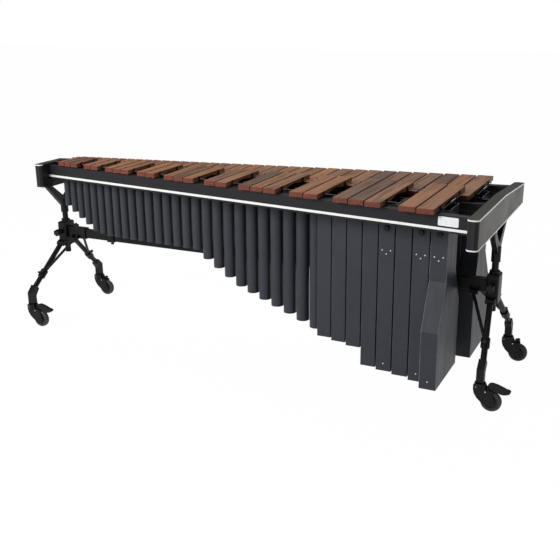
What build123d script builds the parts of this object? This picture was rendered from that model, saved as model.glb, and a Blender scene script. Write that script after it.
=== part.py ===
from build123d import *
import os
from math import atan2, cos, degrees, radians, sin

# Five-octave concert marimba on a height-adjustable folding stand with casters.
# Millimetres. +X runs to the low notes, -Y is the audience side, +Z is up, floor at Z 0.

os.makedirs("parts", exist_ok=True)

# ---------------------------------------------------------------- driving dimensions

# end panels
PANEL_OUTER_X = 1345          # outer face of each end panel from the middle of the length
PANEL_THICKNESS = 52
LOW_PANEL_WIDTH = 1058
HIGH_PANEL_WIDTH = 426
PANEL_BOTTOM_Z = 827
PANEL_TOP_Z = 966             # flat stretch, beside the accidentals
PANEL_FAR_TOP_Z = 932         # lowest point of the top, at the far end
PANEL_KINK_Y = 20             # where the top starts to slope down
PANEL_CORNER_R = 20
PIPING_HEIGHT = 6
PIPING_PROUD = 1.2
RIB_COUNT = 7
RIB_DEPTH = 1.5

# rails
RAIL_SETBACK = 71             # panel's end to the outer face of the rail
RAIL_THICKNESS_HIGH = 30
RAIL_THICKNESS_LOW = 48
NEAR_RAIL_TOP_Z = 955
RAIL_BOTTOM_Z = 877
ROW_DROP = 27                 # how far the naturals lie below the accidentals
INNER_RAIL_THICKNESS = 16
INNER_RAIL_HEIGHT = 45
INNER_RAIL_BELOW_BAR = 31     # bar's underside to the inner rail's top
STRIPE_HEIGHT = 12
STRIPE_BOTTOM_Z = 887
STRIPE_PROUD = 2.5

# label plate on the near rail
LABEL_WIDTH = 96
LABEL_HEIGHT = 42
LABEL_THICKNESS = 1.5
LABEL_X = 1193
LABEL_Z = 928

# keyboard
SLOTS = 35                    # five octaves of seven half-spaced places
BAR_PITCH_HIGH = 48.7
BAR_PITCH_LOW = 88.2
KEYBOARD_RIGHT_X = 1140       # right edge of the lowest accidental's place
BAR_GAP = 8
BAR_THICKNESS = 24
BAR_CORNER_R = 3
BAR_EDGE_CHAMFER = 1.2
BAR_SEAT_GAP = 6              # rail top to the bar's underside
BAR_ARCH_DEPTH_LOW = 13
BAR_ARCH_DEPTH_HIGH = 3
ACCIDENTAL_NEAR_Y = (-160, -480)   # at the high end, at the low end
ACCIDENTAL_FAR_Y = (20, 80)
NATURAL_NEAR_Y = (-2, -25)
NATURAL_FAR_Y = (172, 510)
ROW_HIGH_X = -1200            # where the first of each pair is measured
ROW_LOW_X = 1100              # where the second of each pair is measured

# cord and posts
CORD_DIAMETER = 4
CORD_HOLE_DIAMETER = 4.7
CORD_END_X_HIGH = 4           # cord's turn to the high panel's inner face
CORD_TURN_RADIUS = 5
POST_WIDTH = 4
POST_DEPTH = 10
POST_SLOT_CLEARANCE = 0.3
POST_SEAT_GAP = 0.1
POST_ABOVE_CORD = 14
OUTER_POST_DROP = 40          # how far a post reaches down the rail's inner face
SPRING_DIAMETER = 9
SPRING_LENGTH = 74
SPRING_RIDGE = 1.0

# resonators
RESONATOR_PITCH_LOW = 89.2
RESONATOR_RIGHT_X = 1161
FAR_RESONATOR_SHIFT = 22      # far bank's offset towards the low end from half a place
TUBE_GAP = 9
TUBE_WALL = 1.6
BOX_WALL = 2.5
BOX_GAP = 6
FIRST_BOX_SLOT = 28
BOX_DEPTH = 170
NEAR_TUBE_TOP_Z = 940
RESONATOR_TOP_DROP = 21       # bar's underside to the resonator's mouth
BIG_BOX_DEPTH = 370           # clears the crossbar when the keyboard is raised
BIG_BOX_FRONT_OUT = {-1: 186, 1: 236}   # row's centre line to each big box's outer face
NECK_BOTTOM_Z = 590
NECK_REAR_BOTTOM_Z = 610
BIG_BOX_SHOULDER_Z = 372
BIG_BOX_REAR_SHOULDER_Z = 425
# bottom of the near bank: (place from the high end, height)
NEAR_OUTLINE = [(1, 703), (5, 571), (7, 552), (17, 552), (18, 505), (21, 379), (25, 273), (27, 216),
                (30, 181), (31, 90), (33, 72), (34, 60), (35, 78)]
# bottom of the far bank, which follows the notes' true lengths
FAR_OUTLINE = [(1, 835), (8, 800), (15, 745), (22, 600), (27, 430), (30, 300), (33, 150), (36, 62)]
STRIP_THICKNESS = 3
STRIP_HEIGHT = 22
STRIP_TOP_Z = 905
STRIP_CLEARANCE = 0.2
RIVET_DIAMETER = 7
RIVET_HEAD = 1.6
RIVET_SPACING = 42
RIVET_DROP = 18
RIVET_Z = 713
BOX_SCREW_Z = 40              # above the box's bottom

# tuning knobs
KNOB_DIAMETER = 27
KNOB_DEPTH = 15
KNOB_SHAFT_DIAMETER = 8
KNOB_Z = 824
FLAP_RADIUS = 30
FLAP_THICKNESS = 3
RUNNING_CLEARANCE = 0.3
TUNED_SLOTS = (32, 34, 35)

# stand
COLUMN_X = 1324
COLUMN_DIAMETER = 34
COLUMN_BOTTOM_Z = 385
COLUMN_CLEARANCE = 0.5
FORK_SPREAD = 150             # fork arm's top from the column, along Y
FORK_JOINT_Z = 695
FORK_WIDTH = 26
FORK_PLATE_THICKNESS = 7
FORK_SLEEVE_DIAMETER = 46
HUB_BOTTOM_Z = 436
HUB_TOP_Z = 580
HUB_WIDTH_X = 62
HUB_WIDTH_Y = 92
HUB_CORNER_R = 12
CROSSBAR_Z = 516
CROSSBAR_HEIGHT = 52
CROSSBAR_WIDTH = 30
CROSSBAR_WALL = 3
SLEEVE_LENGTH = 126
SLEEVE_WALL = 8
CLAMP_X = -978
CLAMP_LENGTH = 46

# legs, which fold about an axis along X
LEG_PIVOT_Y = 64
LEG_PIVOT_Z = 450
LEG_DIAMETER = 30
LEG_TUBE_START = 6            # pivot to the tube's end, along Y
LEG_EAR_GAP = 34
LEG_EAR_THICKNESS = 7
LEG_EAR_RADIUS = 20
PIVOT_PIN_DIAMETER = 12
STEM_X = 1356
STEM_Y = 326
KNEE_TOP_Y = 290
KNEE_TOP_Z = 236
KNEE_BEND_Z = 196
KNEE_BOTTOM_Z = 138
KNEE_WIDTH = 36
COLLAR_Y = 225
COLLAR_CLEARANCE = 0.1
STRUT_DIAMETER = 16
STRUT_TOP_X = 1236
STRUT_TOP_Y = 44              # hook under the sleeve's lugs, at the leg's open stop
STRUT_TOP_Z = 482
STRUT_EYE_WIDTH = 30
STRUT_EYE_RADIUS = 12

# casters
WHEEL_DIAMETER = 100
WHEEL_WIDTH = 28
WHEEL_TRAIL = 56
TREAD_R = 9
AXLE_DIAMETER = 10
FORK_CHEEK = 4
CASTER_GAP = 1.5
CASTER_HEAD_RADIUS = 27
CASTER_STEM_DIAMETER = 14
CASTER_TOP_CLEARANCE = 0.5
PEDAL_PIVOT_X = 42            # ahead of the stem, towards the wheel
PEDAL_PIVOT_RISE = 15         # above the wheel's top
PEDAL_BARREL_RADIUS = 5
PEDAL_PIN_RADIUS = 3
PEDAL_HALF_WIDTH = 12
PEDAL_REACH = 140             # pedal's tip from the stem
PARKED_PEDAL_REACH = 66
PEDAL_THICKNESS = 7
PRESSED_TILT = 20
PARKED_TILT = -6

# clamp knobs on the hubs' near and far faces
CLAMP_KNOB_Z = 524
CLAMP_BOSS_RADIUS = 15
CLAMP_BOSS_LENGTH = 22
CLAMP_KNOB_RADIUS = 20
CLAMP_KNOB_DEPTH = 32
CLAMP_STUD_DIAMETER = 10

# ---------------------------------------------------------------- derived places

PANEL_INNER_X = PANEL_OUTER_X - PANEL_THICKNESS
RAIL_HIGH_Y = HIGH_PANEL_WIDTH / 2 - RAIL_SETBACK
RAIL_LOW_Y = LOW_PANEL_WIDTH / 2 - RAIL_SETBACK
ACC_BOTTOM_Z = NEAR_RAIL_TOP_Z + BAR_SEAT_GAP
NAT_BOTTOM_Z = ACC_BOTTOM_Z - ROW_DROP
FAR_RAIL_TOP_Z = NEAR_RAIL_TOP_Z - ROW_DROP
ACC_CORD_Z = ACC_BOTTOM_Z + BAR_THICKNESS / 2
NAT_CORD_Z = NAT_BOTTOM_Z + BAR_THICKNESS / 2
CORD_R = CORD_DIAMETER / 2
POST_HALF = POST_DEPTH / 2

pieces = {}


def keep(part, name):
    """Name a finished piece and hold it for writing."""
    part.label = name
    pieces[name] = part


def between(x, ends):
    """Height of the straight line that has the two given values at the row's two ends."""
    share = (x - ROW_HIGH_X) / (ROW_LOW_X - ROW_HIGH_X)
    return ends[0] + (ends[1] - ends[0]) * share


def along_panels(x, high, low):
    """Straight line between the two end panels' inner faces."""
    share = (x + PANEL_INNER_X) / (2 * PANEL_INNER_X)
    return high + (low - high) * share


def rail_outer_y(x):
    return along_panels(x, RAIL_HIGH_Y, RAIL_LOW_Y)


def rail_inner_y(x):
    return rail_outer_y(x) - along_panels(x, RAIL_THICKNESS_HIGH, RAIL_THICKNESS_LOW)


def outer_cord_y(x):
    """Distance of an outer cord from the centre plane: it runs in the posts on the rail."""
    return rail_inner_y(x) - POST_HALF - POST_SEAT_GAP


def accidental_inner_cord_y(x):
    return between(x, (-20, -46))


def natural_inner_cord_y(x):
    return between(x, (38, 92))


def place_edge(k, pitch_low, right_x):
    """Right edge of place k, counted from the high end, where places widen steadily."""
    total = SLOTS * (BAR_PITCH_HIGH + pitch_low) / 2
    growth = (pitch_low - BAR_PITCH_HIGH) / (SLOTS - 1)
    return right_x - total + k * BAR_PITCH_HIGH + growth * k * (k - 1) / 2


def place(k, pitch_low, right_x, half=0.0):
    """Centre and width of place k; half shifts it by that share of a place."""
    left = place_edge(k - 1, pitch_low, right_x)
    right = place_edge(k, pitch_low, right_x)
    width = right - left
    return (left + right) / 2 + half * width, width


def bar_place(k):
    return place(k, BAR_PITCH_LOW, KEYBOARD_RIGHT_X)


def natural_place(k):
    """Naturals sit on the boundaries between the accidentals' places; k runs 0 to 35."""
    x = place_edge(k, BAR_PITCH_LOW, KEYBOARD_RIGHT_X)
    width = BAR_PITCH_HIGH + (BAR_PITCH_LOW - BAR_PITCH_HIGH) * (k - 0.5) / (SLOTS - 1)
    return x, width


def outline_z(outline, k):
    """Height on a stepped outline, straight between its stations."""
    for (k0, z0), (k1, z1) in zip(outline, outline[1:]):
        if k <= k1:
            return z0 + (z1 - z0) * (k - k0) / (k1 - k0)
    return outline[-1][1]


def has_accidental(k):
    """Counted from the low end, each octave goes bar bar gap bar bar bar gap."""
    return 1 <= k <= SLOTS and (SLOTS - k) % 7 in (0, 1, 3, 4, 5)


def cylinder_between(start, end, radius):
    """Solid round bar from one point to another."""
    start = Vector(*start)
    run = Vector(*end) - start
    with BuildPart() as rod:
        with BuildSketch(Plane(origin=start, z_dir=run)):
            Circle(radius)
        extrude(amount=run.length)
    return rod.part


def group(name, parts):
    """Several separate solids of the same kind under one name."""
    keep(Compound(children=parts), name)


# ---------------------------------------------------------------- end panels and piping


def panel_side(width):
    """Side outline of an end panel in Y and Z."""
    with BuildLine() as side:
        Polyline(
            (-width / 2, PANEL_BOTTOM_Z), (width / 2, PANEL_BOTTOM_Z), (width / 2, PANEL_FAR_TOP_Z),
            (PANEL_KINK_Y, PANEL_TOP_Z), (-width / 2, PANEL_TOP_Z), close=True,
        )
    return side.line


def make_panel(side, width):
    inner = side * PANEL_INNER_X
    with BuildPart() as panel:
        with BuildSketch(Plane.YZ.offset(inner)):
            make_face(panel_side(width))
        extrude(amount=side * PANEL_THICKNESS)
        ends = panel.edges().filter_by(Axis.Z)
        fillet(ends, PANEL_CORNER_R)
        # fine upright ribs moulded into the cap at the near end
        spacing = (PANEL_THICKNESS - 2 * PANEL_CORNER_R) / (RIB_COUNT - 1)
        middle = side * (PANEL_OUTER_X - PANEL_THICKNESS / 2)
        with BuildSketch(Plane.XY.offset(PANEL_BOTTOM_Z)):
            with Locations((middle, -width / 2)):
                with GridLocations(spacing, 0, RIB_COUNT, 1):
                    Circle(RIB_DEPTH)
        extrude(amount=PANEL_TOP_Z - PANEL_BOTTOM_Z, mode=Mode.SUBTRACT)
    return panel.part


def make_piping(side, width, top):
    """Bright edge strip round the panel: a thin band just outside the panel's faces."""
    with BuildPart() as shell:
        with BuildSketch(Plane.XY):
            with Locations((side * (PANEL_OUTER_X - PANEL_THICKNESS / 2), 0)):
                RectangleRounded(
                    PANEL_THICKNESS + 2 * PIPING_PROUD, width + 2 * PIPING_PROUD,
                    PANEL_CORNER_R + PIPING_PROUD,
                )
                RectangleRounded(PANEL_THICKNESS, width, PANEL_CORNER_R, mode=Mode.SUBTRACT)
        extrude(amount=PANEL_TOP_Z + PIPING_HEIGHT)
        # the inner face carries no piping between the rails
        inner = side * (PANEL_INNER_X - PIPING_PROUD)
        with BuildSketch(Plane.XY):
            with Locations((inner, 0)):
                Rectangle(2 * PIPING_PROUD + 0.2, width - 2 * PANEL_CORNER_R)
        extrude(amount=PANEL_TOP_Z + PIPING_HEIGHT, mode=Mode.SUBTRACT)
        with BuildSketch(Plane.YZ.offset(-2 * PANEL_OUTER_X)):
            with BuildLine():
                reach = width / 2 + PANEL_CORNER_R
                if top:
                    slope = (PANEL_TOP_Z - PANEL_FAR_TOP_Z) / (width / 2 - PANEL_KINK_Y)
                    end_z = PANEL_FAR_TOP_Z - slope * PANEL_CORNER_R
                    Polyline(
                        (-reach, PANEL_TOP_Z - PIPING_HEIGHT), (PANEL_KINK_Y, PANEL_TOP_Z - PIPING_HEIGHT),
                        (reach, end_z - PIPING_HEIGHT), (reach, end_z), (PANEL_KINK_Y, PANEL_TOP_Z),
                        (-reach, PANEL_TOP_Z), close=True,
                    )
                else:
                    Polyline(
                        (-reach, PANEL_BOTTOM_Z), (reach, PANEL_BOTTOM_Z),
                        (reach, PANEL_BOTTOM_Z + PIPING_HEIGHT), (-reach, PANEL_BOTTOM_Z + PIPING_HEIGHT),
                        close=True,
                    )
            make_face()
        extrude(amount=4 * PANEL_OUTER_X, mode=Mode.INTERSECT)
    return shell.part


piping = []
for side, name, panel_width in ((1, "low_end_panel", LOW_PANEL_WIDTH), (-1, "high_end_panel", HIGH_PANEL_WIDTH)):
    keep(make_panel(side, panel_width), name)
    piping += [make_piping(side, panel_width, True), make_piping(side, panel_width, False)]
group("panel_piping", piping)

# ---------------------------------------------------------------- rails, stripes, label


def make_rail(row, outer, inner, top_z, bottom_z):
    """Long board between the end panels; outer and inner give its faces' distances."""
    with BuildPart() as rail:
        with BuildSketch(Plane.XY.offset(bottom_z)):
            with BuildLine():
                Polyline(
                    (-PANEL_INNER_X, row * outer(-PANEL_INNER_X)), (PANEL_INNER_X, row * outer(PANEL_INNER_X)),
                    (PANEL_INNER_X, row * inner(PANEL_INNER_X)), (-PANEL_INNER_X, row * inner(-PANEL_INNER_X)),
                    close=True,
                )
            make_face()
        extrude(amount=top_z - bottom_z)
    return rail.part


def inner_rail_faces(line):
    half = INNER_RAIL_THICKNESS / 2
    return (lambda x: line(x) + half), (lambda x: line(x) - half)


keep(make_rail(-1, rail_outer_y, rail_inner_y, NEAR_RAIL_TOP_Z, RAIL_BOTTOM_Z), "near_rail")
keep(make_rail(1, rail_outer_y, rail_inner_y, FAR_RAIL_TOP_Z, RAIL_BOTTOM_Z - ROW_DROP), "far_rail")
for rail_name, cord_line, bar_bottom in (
    ("accidental_inner_rail", accidental_inner_cord_y, ACC_BOTTOM_Z),
    ("natural_inner_rail", natural_inner_cord_y, NAT_BOTTOM_Z),
):
    face_a, face_b = inner_rail_faces(cord_line)
    inner_top = bar_bottom - INNER_RAIL_BELOW_BAR
    keep(make_rail(1, face_a, face_b, inner_top, inner_top - INNER_RAIL_HEIGHT), rail_name)

stripes = []
for row, drop in ((-1, 0), (1, ROW_DROP)):
    stripes.append(make_rail(
        row, lambda x: rail_outer_y(x) + STRIPE_PROUD, rail_outer_y,
        STRIPE_BOTTOM_Z - drop + STRIPE_HEIGHT, STRIPE_BOTTOM_Z - drop,
    ))
group("rail_stripes", stripes)

rail_angle = degrees(atan2(RAIL_LOW_Y - RAIL_HIGH_Y, 2 * PANEL_INNER_X))
near_normal = Vector(-sin(radians(rail_angle)), -cos(radians(rail_angle)), 0)
near_along = Vector(cos(radians(rail_angle)), -sin(radians(rail_angle)), 0)
with BuildPart() as label_plate:
    label_plane = Plane(
        origin=(LABEL_X, -rail_outer_y(LABEL_X), LABEL_Z), x_dir=near_along, z_dir=near_normal,
    )
    with BuildSketch(label_plane):
        RectangleRounded(LABEL_WIDTH, LABEL_HEIGHT, 5)
    extrude(amount=LABEL_THICKNESS)
keep(label_plate.part, "label_plate")

# ---------------------------------------------------------------- bars


def make_bar(x, width, near_y, far_y, bottom_z, cord_lines, size):
    """One wooden bar with a tuning arch below and two holes for the cord.

    size runs from 0 at the highest bar to 1 at the lowest and sets the arch.
    """
    length = far_y - near_y
    arch = BAR_ARCH_DEPTH_HIGH + (BAR_ARCH_DEPTH_LOW - BAR_ARCH_DEPTH_HIGH) * size
    middle = (near_y + far_y) / 2
    with BuildPart() as bar:
        with BuildSketch(Plane.XY.offset(bottom_z)):
            with Locations((x, middle)):
                RectangleRounded(width, length, BAR_CORNER_R)
        extrude(amount=BAR_THICKNESS)
        chamfer(bar.faces().sort_by(Axis.Z)[-1].edges(), BAR_EDGE_CHAMFER)
        with BuildSketch(Plane.YZ.offset(x - width)):
            with BuildLine():
                foot = length * 0.21
                ThreePointArc((middle - foot, bottom_z), (middle, bottom_z + arch), (middle + foot, bottom_z))
                Line((middle + foot, bottom_z), (middle - foot, bottom_z))
            make_face()
        extrude(amount=2 * width, mode=Mode.SUBTRACT)
        hole_z = bottom_z + BAR_THICKNESS / 2
        for line in cord_lines:
            start = Vector(x - width, line(x - width), hole_z)
            end = Vector(x + width, line(x + width), hole_z)
            with BuildSketch(Plane(origin=start, z_dir=end - start)):
                Circle(CORD_HOLE_DIAMETER / 2)
            extrude(amount=(end - start).length, mode=Mode.SUBTRACT)
    return bar.part


def near_cord_y(x):
    return -outer_cord_y(x)


def octave_of(k):
    """Octave 1 holds the lowest notes; k counts places from the high end."""
    return min(5, (SLOTS - k) // 7 + 1)


octaves = {number: [] for number in range(1, 6)}
for k in range(1, SLOTS + 1):
    if has_accidental(k):
        bar_x, bar_pitch = bar_place(k)
        octaves[octave_of(k)].append(make_bar(
            bar_x, bar_pitch - BAR_GAP, between(bar_x, ACCIDENTAL_NEAR_Y), between(bar_x, ACCIDENTAL_FAR_Y),
            ACC_BOTTOM_Z, (near_cord_y, accidental_inner_cord_y), k / SLOTS,
        ))
for k in range(0, SLOTS + 1):
    bar_x, bar_pitch = natural_place(k)
    octaves[octave_of(k)].append(make_bar(
        bar_x, bar_pitch - BAR_GAP, between(bar_x, NATURAL_NEAR_Y), between(bar_x, NATURAL_FAR_Y),
        NAT_BOTTOM_Z, (natural_inner_cord_y, outer_cord_y), k / SLOTS,
    ))
for number, bars in octaves.items():
    group(f"bars_octave_{number}", bars)

# ---------------------------------------------------------------- cords, springs, posts


def make_cord(outer, inner, z, low_x):
    """Cord of one row: out along the outer posts, across the high end and back."""
    high_x = -PANEL_INNER_X + CORD_END_X_HIGH
    with BuildPart() as cord:
        with BuildLine() as route:
            FilletPolyline(
                (low_x, outer(low_x), z), (high_x, outer(high_x), z), (high_x, inner(high_x), z),
                (low_x, inner(low_x), z), radius=CORD_TURN_RADIUS,
            )
        start = Vector(low_x, outer(low_x), z)
        with BuildSketch(Plane(origin=start, z_dir=route.line % 0)):
            Circle(CORD_R)
        sweep()
    return cord.part


def make_spring(outer_y, inner_y, x, z):
    """Tension spring that closes the cord's loop at the low end, with a hook rod each way."""
    middle = (outer_y + inner_y) / 2
    rings = int(SPRING_LENGTH / (2 * SPRING_RIDGE)) // 2
    radius = SPRING_DIAMETER / 2
    with BuildPart() as spring:
        with BuildSketch(Plane.YZ.offset(x)):
            with BuildLine():
                start_y = middle - SPRING_LENGTH / 2
                step = SPRING_LENGTH / rings
                teeth = [(start_y, z)]
                for i in range(rings):
                    teeth += [(start_y + step * i, z + radius - SPRING_RIDGE),
                              (start_y + step * (i + 0.5), z + radius)]
                teeth += [(start_y + SPRING_LENGTH, z + radius - SPRING_RIDGE), (start_y + SPRING_LENGTH, z)]
                Polyline(*teeth, close=True)
            make_face()
        revolve(axis=Axis((x, 0, z), (0, 1, 0)))
        with BuildSketch(Plane.XZ.offset(-(outer_y if outer_y < inner_y else inner_y))):
            with Locations((x, z)):
                Circle(CORD_R * 0.7)
        extrude(amount=-abs(inner_y - outer_y))
    return spring.part


LOW_CORD_X = place_edge(SLOTS, BAR_PITCH_LOW, KEYBOARD_RIGHT_X) + BAR_GAP + 4
NATURAL_LOW_CORD_X = LOW_CORD_X + BAR_PITCH_LOW / 2
cords = [
    make_cord(near_cord_y, accidental_inner_cord_y, ACC_CORD_Z, LOW_CORD_X),
    make_cord(outer_cord_y, natural_inner_cord_y, NAT_CORD_Z, NATURAL_LOW_CORD_X),
]
group("bar_cords", cords)
SPRING_X_GAP = 1.6
group("cord_springs", [
    make_spring(near_cord_y(LOW_CORD_X), accidental_inner_cord_y(LOW_CORD_X), LOW_CORD_X + SPRING_X_GAP, ACC_CORD_Z),
    make_spring(natural_inner_cord_y(NATURAL_LOW_CORD_X), outer_cord_y(NATURAL_LOW_CORD_X),
                NATURAL_LOW_CORD_X + SPRING_X_GAP, NAT_CORD_Z),
])


def make_post(x, line, cord_z, base_z):
    """Upright bar post with an eye for the cord, turned to lie along the cord's line."""
    step = 1.0
    heading = Vector(step, line(x + step) - line(x), 0)
    with BuildPart() as post:
        with BuildSketch(Plane(origin=(x, line(x), base_z), x_dir=heading, z_dir=(0, 0, 1))):
            Rectangle(POST_WIDTH, POST_DEPTH)
        extrude(amount=cord_z + POST_ABOVE_CORD - base_z)
        upright = post.edges().filter_by(Axis.Z)
        chamfer(upright, 0.8)
        eye = Plane(origin=(x, line(x), cord_z), z_dir=heading)
        with BuildSketch(eye):
            Circle(CORD_R + POST_SLOT_CLEARANCE)
        extrude(amount=POST_WIDTH, both=True, mode=Mode.SUBTRACT)
    return post.part


accidental_posts = []
for k in range(0, SLOTS + 1):
    if has_accidental(k) or has_accidental(k + 1):
        post_x = place_edge(k, BAR_PITCH_LOW, KEYBOARD_RIGHT_X)
        accidental_posts.append(make_post(post_x, near_cord_y, ACC_CORD_Z, ACC_CORD_Z - OUTER_POST_DROP))
        accidental_posts.append(make_post(
            post_x, accidental_inner_cord_y, ACC_CORD_Z, ACC_BOTTOM_Z - INNER_RAIL_BELOW_BAR))

natural_posts = []
for k in range(-1, SLOTS + 1):
    left_x, left_pitch = natural_place(k)
    post_x = left_x + left_pitch / 2
    natural_posts.append(make_post(post_x, outer_cord_y, NAT_CORD_Z, NAT_CORD_Z - OUTER_POST_DROP))
    natural_posts.append(make_post(
        post_x, natural_inner_cord_y, NAT_CORD_Z, NAT_BOTTOM_Z - INNER_RAIL_BELOW_BAR))
group("bar_posts", accidental_posts + natural_posts)

# ---------------------------------------------------------------- resonators


def accidental_centre_y(x):
    return (between(x, ACCIDENTAL_NEAR_Y) + between(x, ACCIDENTAL_FAR_Y)) / 2


def natural_centre_y(x):
    return (between(x, NATURAL_NEAR_Y) + between(x, NATURAL_FAR_Y)) / 2


def make_tube(x, y, radius, bottom_z, top_z):
    """Round resonator, open at the top and closed at the bottom."""
    with BuildPart() as tube:
        with BuildSketch(Plane.XY.offset(bottom_z)):
            with Locations((x, y)):
                Circle(radius)
        extrude(amount=top_z - bottom_z)
        with BuildSketch(Plane.XY.offset(bottom_z + TUBE_WALL)):
            with Locations((x, y)):
                Circle(radius - TUBE_WALL)
        extrude(amount=top_z - bottom_z, mode=Mode.SUBTRACT)
    return tube.part


def make_box(x, y, width, depth, bottom_z, top_z, bored):
    """Flat-fronted resonator box, open at the top; bored ones carry a tuning shaft."""
    with BuildPart() as box:
        with BuildSketch(Plane.XY.offset(bottom_z)):
            with Locations((x, y)):
                RectangleRounded(width, depth, BOX_WALL + 1)
        extrude(amount=top_z - bottom_z)
        with BuildSketch(Plane.XY.offset(bottom_z + BOX_WALL)):
            with Locations((x, y)):
                Rectangle(width - 2 * BOX_WALL, depth - 2 * BOX_WALL)
        extrude(amount=top_z - bottom_z, mode=Mode.SUBTRACT)
        if bored:
            with BuildSketch(Plane.XZ.offset(-y)):
                with Locations((x, KNOB_Z)):
                    Circle(KNOB_SHAFT_DIAMETER / 2 + RUNNING_CLEARANCE)
            extrude(amount=depth, both=True, mode=Mode.SUBTRACT)
    return box.part


def big_box_side(row, y, bottom_z, top_z, wall):
    """Side outline of the lowest resonator: a neck that flares into a deep box."""
    front = y + row * (BIG_BOX_FRONT_OUT[row] - wall)
    rear = front - row * (BIG_BOX_DEPTH - 2 * wall)
    neck_front = y + row * (BOX_DEPTH / 2 - wall)
    neck_rear = y - row * (BOX_DEPTH / 2 - wall)
    return Polyline(
        (neck_front, top_z), (neck_front, NECK_BOTTOM_Z), (front, BIG_BOX_SHOULDER_Z - wall),
        (front, bottom_z + wall), (rear, bottom_z + wall), (rear, BIG_BOX_REAR_SHOULDER_Z - wall),
        (neck_rear, NECK_REAR_BOTTOM_Z - wall), (neck_rear, top_z), close=True,
    )


def make_big_box(row, x, y, width, bottom_z, top_z, bored):
    with BuildPart() as box:
        with BuildSketch(Plane.YZ.offset(x - width / 2)):
            with BuildLine():
                big_box_side(row, y, bottom_z, top_z, 0)
            make_face()
        extrude(amount=width)
        with BuildSketch(Plane.YZ.offset(x - width / 2 + BOX_WALL)):
            with BuildLine():
                big_box_side(row, y, bottom_z, top_z + 1, BOX_WALL)
            make_face()
        extrude(amount=width - 2 * BOX_WALL, mode=Mode.SUBTRACT)
        if bored:
            with BuildSketch(Plane.XZ.offset(-y)):
                with Locations((x, KNOB_Z)):
                    Circle(KNOB_SHAFT_DIAMETER / 2 + RUNNING_CLEARANCE)
            extrude(amount=BOX_DEPTH, both=True, mode=Mode.SUBTRACT)
    return box.part


def resonator_place(row, k):
    """Centre, row line and pitch of resonator k of the near (-1) or far (1) bank."""
    if row < 0:
        x, pitch = place(k, RESONATOR_PITCH_LOW, RESONATOR_RIGHT_X)
        return x, accidental_centre_y(x), pitch
    x, pitch = natural_place(k - 1)
    x += FAR_RESONATOR_SHIFT * (k - 1) / SLOTS
    return x, natural_centre_y(x), pitch


BANKS = {
    -1: ("accidental", NEAR_OUTLINE, ACC_BOTTOM_Z - RESONATOR_TOP_DROP, SLOTS, TUNED_SLOTS),
    1: ("natural", FAR_OUTLINE, NAT_BOTTOM_Z - RESONATOR_TOP_DROP, SLOTS + 1, ()),
}


def strip_faces(row, ks, sign):
    """Points where a strip meets the resonators on one side of the bank."""
    points = []
    for k in ks:
        x, y, pitch = resonator_place(row, k)
        if k >= FIRST_BOX_SLOT:
            # the row runs askew, so a box's corner stands further out than its middle
            slope = (natural_centre_y(x + 1) if row > 0 else accidental_centre_y(x + 1)) - y
            reach = BOX_DEPTH / 2 + abs(slope) * (pitch - BOX_GAP) / 2
        else:
            reach = (pitch - TUBE_GAP) / 2
        points.append((x, y + sign * (reach + STRIP_CLEARANCE)))
    return points


def make_strip(points, sign, left_x, right_x):
    """Upright flat strip that follows the bank's flank and ends at the given places."""
    def extend(a, b, x):
        return (x, a[1] + (b[1] - a[1]) * (x - a[0]) / (b[0] - a[0]))
    path = [extend(points[0], points[1], left_x)] + points + [extend(points[-2], points[-1], right_x)]
    back = [(x, y + sign * STRIP_THICKNESS) for x, y in reversed(path)]
    with BuildPart() as strip:
        with BuildSketch(Plane.XY.offset(STRIP_TOP_Z - STRIP_HEIGHT)):
            with BuildLine():
                Polyline(*path, *back, close=True)
            make_face()
        extrude(amount=STRIP_HEIGHT)
    return strip.part


rivets = []
strips = []
for row, (bank, outline, mouth_z, count, tuned) in BANKS.items():
    tubes = []
    boxes = []
    for k in range(1, count + 1):
        x, y, pitch = resonator_place(row, k)
        bottom = outline_z(outline, k)
        if k < FIRST_BOX_SLOT:
            tubes.append(make_tube(x, y, (pitch - TUBE_GAP) / 2, bottom, mouth_z))
        elif k < count:
            boxes.append(make_box(x, y, pitch - BOX_GAP, BOX_DEPTH, bottom, mouth_z, k in tuned))
        else:
            boxes.append(make_big_box(row, x, y, pitch - BOX_GAP, bottom, mouth_z, k in tuned))
        if k >= count - 1 or k == count - 3:
            face_y = y + row * BOX_DEPTH / 2
            spots = [(x - RIVET_SPACING / 2, RIVET_Z), (x + RIVET_SPACING / 2, RIVET_Z), (x, RIVET_Z - RIVET_DROP)]
            for spot_x, spot_z in spots:
                rivets.append(cylinder_between(
                    (spot_x, face_y, spot_z), (spot_x, face_y + row * RIVET_HEAD, spot_z), RIVET_DIAMETER / 2))
            low_face = face_y if k < count else y + row * BIG_BOX_FRONT_OUT[row]
            rivets.append(cylinder_between(
                (x, low_face, bottom + BOX_SCREW_Z), (x, low_face + row * RIVET_HEAD, bottom + BOX_SCREW_Z),
                RIVET_DIAMETER / 2))
    group(f"{bank}_tubes", tubes)
    group(f"{bank}_boxes", boxes)
    tube_ks = range(1, FIRST_BOX_SLOT)
    box_ks = range(FIRST_BOX_SLOT, count + 1)
    split_x = (resonator_place(row, FIRST_BOX_SLOT - 1)[0] + resonator_place(row, FIRST_BOX_SLOT)[0]) / 2
    for sign in (-1, 1):
        strips.append(make_strip(strip_faces(row, tube_ks, sign), sign, -PANEL_INNER_X, split_x))
        strips.append(make_strip(strip_faces(row, box_ks, sign), sign, split_x, PANEL_INNER_X))
group("resonator_strips", strips)
group("resonator_rivets", rivets)


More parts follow.
